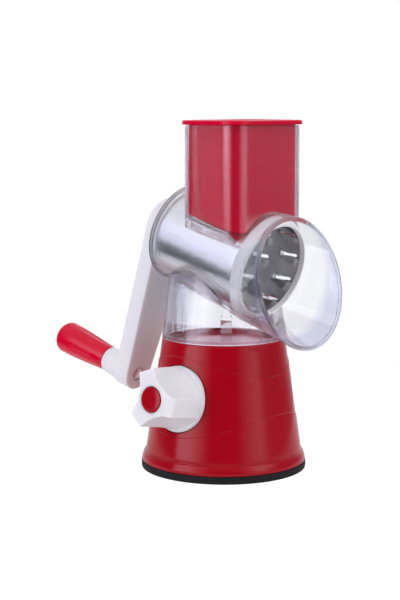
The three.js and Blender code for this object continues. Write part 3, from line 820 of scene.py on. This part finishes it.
def drum_shell():
    first, last = SLOT_ROWS[0] - 10, DRUM_FRONT
    places = [DRUM_BACK] + [first + (last - first) * k / 46 for k in range(47)]

    def section(angle):
        outer = [(drum_radius(s) + blade_lift(angle, s), s) for s in places]
        return outer + [(r - DRUM_T, s) for r, s in reversed(outer)]

    shell = revolved(section, BARREL, segments=240)
    cutters = []
    for angle, place in slot_places():
        middle = turned(angle, BARREL) @ Matrix.Translation((0, 0, place * MM))
        out = middle @ Matrix.Rotation(math.pi / 2, 4, "Y")
        slanted = turned(-SLOT_SLANT, out)
        outline = [(y, -x) for x, y in stadium(SLOT_LENGTH / 2, SLOT_W / 2)]
        cutters.append(pushed(outline, 24, 45, slanted))
    return cut(shell, gathered(cutters))


def drum_front_ring():
    return revolved(softened([
        (35.1, 40.6), (37.3, 40.6, 0.5), (37.8, 41.4, 0.5), (37.4, 43.6, 1.2),
        (33.8, 47.9, 0.8), (32.8, 47.9, 0.4), (32.8, 43.8), (35.1, 43.8),
    ], 0.2, 4), BARREL)


def hexagon(radius):
    return softened([(*polar(radius, k * 60 * DEG), 0.5) for k in range(6)])


def drum_hub():
    hub = revolved(softened([
        (0, -37.9), (31.4, -37.9), (31.4, -37.3), (29, -37.3), (29, -34.4, 0.5),
        (11, -34.4, 1), (9.6, -33, 0.5), (9.6, -14, 0.6), (0, -14),
    ], 0.2), BARREL)
    return cut(hub, pushed(hexagon(HEX_R + 0.4), -40, -12, BARREL))


# The crank.
def drive_shaft():
    journal = revolved(softened([
        (0, -55), (SHAFT_R, -55), (SHAFT_R, -46.4), (9, -46.4),
        (9, -44.1), (HEX_R, -44.1), (HEX_R, -38), (0, -38),
    ], 0.3), BARREL, SMALL_ROUND)
    hexed = bevelled(pushed(hexagon(HEX_R), -39, -16, BARREL), 0.5, 60)
    return cut(joined(journal, hexed), rod(2.2, -56, -45, BARREL))


def arm_outline():
    """The hub circle and the end circle joined by their common tangents."""
    along = -math.pi / 2 - ARM_SWING
    spread = math.acos((ARM_HUB_R - ARM_END_R) / ARM_LENGTH)
    steps = 48
    points = []
    for k in range(steps + 1):
        angle = along + spread + (2 * math.pi - 2 * spread) * k / steps
        points.append(polar(ARM_HUB_R, angle))
    for k in range(steps + 1):
        angle = along - spread + 2 * spread * k / steps
        x, y = polar(ARM_END_R, angle)
        points.append((x + ARM_END[0], y + ARM_END[1]))
    return points


def crank_arm():
    arm = bevelled(pushed(arm_outline(), ARM_FRONT - ARM_T, ARM_FRONT, BARREL), 1.3, segments=4)
    foot = ARM_FRONT - ARM_T + 1
    boss = revolved(softened([
        (0, BOSS_END), (GRIP_NEAR_R, BOSS_END, 0.6), (ARM_END_R - 1.2, foot - 1.4, 0.6),
        (ARM_END_R - 0.4, foot), (0, foot),
    ]), GRIP)
    axle_bore = revolved([
        (0, BOSS_END - 1), (AXLE_R + GAP, BOSS_END - 1), (AXLE_R + GAP, -50.1), (5.6, -50.1),
        (5.6, -46), (0, -46),
    ], GRIP, SMALL_ROUND)
    hub_bore = revolved([
        (0, -61), (5.4, -61), (5.4, -57.3), (2.5, -57.3), (2.5, -55.3), (SHAFT_R + GAP, -55.3),
        (SHAFT_R + GAP, -46), (0, -46),
    ], BARREL, SMALL_ROUND)
    return cut(joined(arm, boss), hub_bore, axle_bore)


def crank_screw():
    """A pan head with a cross recess."""
    screw = revolved(softened([
        (0, -60), (3.4, -59.9, 0.8), (4.8, -58.9, 0.6), (4.8, -57.6), (1.9, -57.6), (1.9, -47), (0, -46.4),
    ], 0.2), BARREL, 32)
    cross = [
        block(-2.6, 2.6, -0.55, 0.55, -61, -58.6, turned(turn, BARREL)) for turn in (20 * DEG, 110 * DEG)
    ]
    return cut(screw, *cross)


def grip_axle():
    return revolved(softened([
        (0, -118.5), (AXLE_R, -118.5, 0.6), (AXLE_R, -49.8), (5.2, -49.8), (5.2, -48.2, 0.8), (3.6, -47.2, 1),
        (0, -47),
    ], 0.2), GRIP, SMALL_ROUND)


def fluted(angle, z):
    """How deep the grip's shallow finger flutes are: they fade out before both ends."""
    fade = min(1, max(0, (BOSS_END - 5 - z) / 6)) * min(1, max(0, (z - GRIP_END - 8) / 9))
    return 0.55 * fade * max(0, math.cos(8 * angle)) ** 0.7


def grip():
    def section(angle):
        outside = softened([
            (AXLE_R + 0.4, BOSS_END - GAP, 0.3), (GRIP_NEAR_R - 0.2, BOSS_END - GAP, 0.7), (10.5, -90, 6),
            (GRIP_FAR_R - 0.2, -114, 8), (GRIP_FAR_R, GRIP_END, 0.1), (6.5, GRIP_END, 0.1), (6.5, -115, 0.1),
            (AXLE_R + 0.4, -115, 0.1),
        ])
        dense = []
        for a, b in zip(outside, outside[1:] + outside[:1]):
            pieces = 10 if a[0] > 9 and b[0] > 9 and abs(a[1] - b[1]) > 8 else 1
            dense += [tuple(Vector(a).lerp(Vector(b), k / pieces)) for k in range(pieces)]
        return [(r - (fluted(angle, z) if r > 9 else 0), z) for r, z in dense]

    return revolved(section, GRIP, segments=128)


def grip_end_cap():
    return revolved(softened([
        (0, -120), (6.2, -120), (6.2, GRIP_END - GAP, 0.1), (12.1, GRIP_END - GAP, 0.25), (11.7, -126.6, 1),
        (10.2, -128.7, 1.2), (7, -130.2, 1.5), (0, -130.9),
    ], 0.2, 4), GRIP)


def build_pieces():
    piece(base_housing(), "base_shell", "base", RED, "red_plastic", "base_housing", sharp=28)
    piece(suction_pad(), "foot_rim", "base", RUBBER, "black_rubber", "suction_pad")
    piece(pad_centre(), "foot_middle", "stem", RUBBER, "black_rubber", "pad_centre")
    piece(lock_knob(), "knob", "knob", WHITE, "white_plastic", "lock_knob")
    piece(knob_cap(), "knob_cover", "knob", RED, "red_plastic", "knob_cap")
    piece(grater_body(), "clear_body", "body", CLEAR, "clear_plastic", "grater_body", sharp=25)
    piece(rear_bush(), "bush", "body", WHITE, "white_plastic", "rear_bush")
    piece(pusher(), "food_pusher", "pusher", RED_PAINTED_BRIGHTER, "red_plastic", "pusher")
    piece(drum_shell(), "drum", "drum", STEEL, "steel", "drum_shell", sharp=40)
    piece(drum_front_ring(), "drum_ring", "drum", CREAM_AND_PAINTED_LIGHT, "white_plastic", "drum_front_ring")
    piece(drum_hub(), "drum_back", "drum", CREAM_AND_PAINTED_LIGHT, "white_plastic", "drum_hub")
    piece(drive_shaft(), "shaft", "crank", WHITE, "white_plastic", "drive_shaft")
    piece(crank_arm(), "arm", "crank", WHITE, "white_plastic", "crank_arm")
    piece(crank_screw(), "arm_screw", "crank", ZINC, "zinc", "crank_screw")
    piece(grip_axle(), "axle", "crank", AXLE_STEEL, "steel", "grip_axle")
    piece(grip(), "handle", "grip", RED_PAINTED_BRIGHTER, "red_plastic", "grip", sharp=45)
    piece(grip_end_cap(), "handle_cap", "grip", RED_PAINTED_BRIGHTER, "red_plastic", "grip_end_cap")
    kept = {
        "base_chassis": DARK, "pull_stem": WHITE, "knob_shaft": AXLE_STEEL, "knob_screw": ZINC,
        "axle_clip": AXLE_STEEL, "chassis_screw_1": ZINC, "chassis_screw_2": ZINC, "chassis_screw_3": ZINC,
    }
    for name, material in kept.items():
        frame["nodes"][name].data.materials.clear()
        frame["nodes"][name].data.materials.append(material)


# Stage.
def table_material():
    """Matt and pale, with a glow of its own that is stronger where the camera sees it directly."""
    material, surface = shader("table_white", (0.5, 0.5, 0.51), 0.9)
    surface.inputs["Specular IOR Level"].default_value = 0
    surface.inputs["Emission Color"].default_value = (1, 1, 1, 1)
    glow = node(material, "ShaderNodeMath", operation="MULTIPLY_ADD")
    glow.inputs[1].default_value, glow.inputs[2].default_value = TABLE_GLOW, TABLE_LIGHT
    links = material.node_tree.links
    links.new(seen_directly(material.node_tree), glow.inputs[0])
    links.new(glow.outputs["Value"], surface.inputs["Emission Strength"])
    return material


def sheet(name, corners, material):
    mesh = bpy.data.meshes.new(name)
    mesh.from_pydata(corners, [], [list(range(len(corners)))])
    mesh.materials.append(material)
    obj = bpy.data.objects.new(name, mesh)
    bpy.context.scene.collection.objects.link(obj)
    return obj


def direction(azimuth, elevation=0):
    """Azimuth in degrees from +X towards +Y."""
    a, e = azimuth * DEG, elevation * DEG
    return Vector((math.cos(a) * math.cos(e), math.sin(a) * math.cos(e), math.sin(e)))


def ramp(tree, value, stops):
    """A grey ramp through (place, brightness) stops."""
    made = tree.nodes.new("ShaderNodeValToRGB")
    elements = made.color_ramp.elements
    while len(elements) > 1:
        elements.remove(elements[-1])
    for i, (place, level) in enumerate(stops):
        element = elements[0] if i == 0 else elements.new(place)
        element.position, element.color = place, (level, level, level * 1.08, 1)
    tree.links.new(value, made.inputs["Fac"])
    return made.outputs["Color"]


def blend(tree, factor, first, second, kind="MIX"):
    mix = tree.nodes.new("ShaderNodeMix")
    mix.data_type, mix.blend_type = "RGBA", kind
    colour = {i.identifier: i for i in mix.inputs}
    sockets = (mix.inputs["Factor"], colour["A_Color"], colour["B_Color"])
    for socket, value in zip(sockets, (factor, first, second)):
        if isinstance(value, bpy.types.NodeSocket):
            tree.links.new(value, socket)
        else:
            socket.default_value = value
    return mix.outputs["Result"]


# Brightness of the studio all round, below the horizon too: degrees round from the camera (positive
# towards the mouth), level.
WALLS = [
    (-180, 0.75), (-150, 0.45), (-120, 0.2), (-92, 0.05), (-77, 0.05), (-69, 2.2), (-52, 2.2), (-40, 1.2),
    (-32, 0.6), (-21, 0.06), (0, 0.05), (21, 0.06), (32, 0.4), (44, 0.9), (58, 1.2), (72, 0.3), (95, 0.15),
    (125, 0.15), (150, 0.4), (180, 0.75),
]
# Sine of the height over the horizon plus a half, and what the walls' brightness is multiplied by there.
WALL_SHADE = [(0.3, 0.62), (0.47, 1.6)]
# Sine of the height over the horizon, and how far the ceiling lamp has taken over from the walls.
CEILING = [(0, 0), (0.3, 0), (0.55, 0.5), (0.8, 1)]
CEILING_LEVEL = 0.95


def seen_directly(tree):
    """1 for a ray from the camera that has met nothing but clear plastic, otherwise 0."""
    path = tree.nodes.new("ShaderNodeLightPath")
    met = tree.nodes.new("ShaderNodeMath")
    met.operation = "ADD"
    tree.links.new(path.outputs["Diffuse Depth"], met.inputs[0])
    tree.links.new(path.outputs["Glossy Depth"], met.inputs[1])
    straight = tree.nodes.new("ShaderNodeMath")
    straight.operation, straight.inputs[1].default_value = "LESS_THAN", 0.5
    tree.links.new(met.outputs["Value"], straight.inputs[0])
    return straight.outputs["Value"]


def build_world():
    """White to the camera. To the grater it is soft walls, darker low down and with a dark gap round the
    camera, and a ceiling."""
    world = bpy.data.worlds.new("studio")
    bpy.context.scene.world = world
    world.use_nodes = True
    tree = world.node_tree
    coordinates = tree.nodes.new("ShaderNodeTexCoord")
    facing = tree.nodes.new("ShaderNodeMapping")
    facing.inputs["Rotation"].default_value = (0, 0, -CAMERA_AZIMUTH * DEG)
    tree.links.new(coordinates.outputs["Generated"], facing.inputs["Vector"])
    around = tree.nodes.new("ShaderNodeTexGradient")
    around.gradient_type = "RADIAL"
    tree.links.new(facing.outputs["Vector"], around.inputs["Vector"])
    walls = ramp(tree, around.outputs["Fac"], [(0.5 + angle / 360, level) for angle, level in WALLS])
    height = tree.nodes.new("ShaderNodeSeparateXYZ")
    tree.links.new(coordinates.outputs["Generated"], height.inputs["Vector"])
    raised = tree.nodes.new("ShaderNodeMath")
    raised.operation, raised.inputs[1].default_value = "ADD", 0.5
    tree.links.new(height.outputs["Z"], raised.inputs[0])
    shade = ramp(tree, raised.outputs["Value"], WALL_SHADE)
    walls = blend(tree, 1.0, walls, shade, "MULTIPLY")
    takeover = ramp(tree, height.outputs["Z"], CEILING)
    room = blend(tree, takeover, walls, (CEILING_LEVEL,) * 3 + (1,))
    view = blend(tree, seen_directly(tree), room, (1, 1, 1, 1))
    tree.links.new(view, tree.nodes["Background"].inputs["Color"])


TABLE_R = 0.34  # its edge is the dark line that the polished drum mirrors
TABLE_DROP = 0.0002  # how far it lies under the feet
TABLE_LIGHT = 0.32
TABLE_GLOW = 0.5  # added to what the camera sees of it, so that it joins the white background

LAMP_POWER = 3  # a soft lamp high on the mouth's side
LAMP_SIZE = 0.9
LAMP_DISTANCE = 1.5
LAMP_AROUND = 62
LAMP_HEIGHT = 35


def build_stage():
    rim = [(*polar(TABLE_R, 2 * math.pi * k / ROUND), 0) for k in range(ROUND)]
    sheet("table", rim, table_material()).location.z = -TABLE_DROP
    lamp = bpy.data.lights.new("side_lamp", "AREA")
    lamp.energy, lamp.size = LAMP_POWER, LAMP_SIZE
    obj = bpy.data.objects.new("side_lamp", lamp)
    bpy.context.scene.collection.objects.link(obj)
    way = direction(CAMERA_AZIMUTH + LAMP_AROUND, LAMP_HEIGHT)
    obj.location = way * LAMP_DISTANCE
    obj.rotation_euler = way.to_track_quat("Z", "Y").to_euler()
    build_world()


# Camera: it looks a little down at the grater from the left of the mouth.
CAMERA_AZIMUTH = 220.41
CAMERA_DISTANCE = 1.051
CAMERA_HEIGHT = 0.262
CAMERA_PITCH = 7.61
CAMERA_YAW = 0.94
CAMERA_LENS = 87.9


def build_camera():
    camera = bpy.data.cameras.new("camera")
    camera.lens, camera.sensor_width = CAMERA_LENS, 36
    camera.clip_start, camera.clip_end = 0.05, 90
    obj = bpy.data.objects.new("camera", camera)
    bpy.context.scene.collection.objects.link(obj)
    obj.location = direction(CAMERA_AZIMUTH) * CAMERA_DISTANCE + Vector((0, 0, CAMERA_HEIGHT))
    look = -direction(CAMERA_AZIMUTH + CAMERA_YAW, CAMERA_PITCH)
    obj.rotation_euler = look.to_track_quat("-Z", "Y").to_euler()
    bpy.context.scene.camera = obj


build_pieces()
build_stage()
build_camera()
bpy.context.scene.view_settings.view_transform = "Standard"
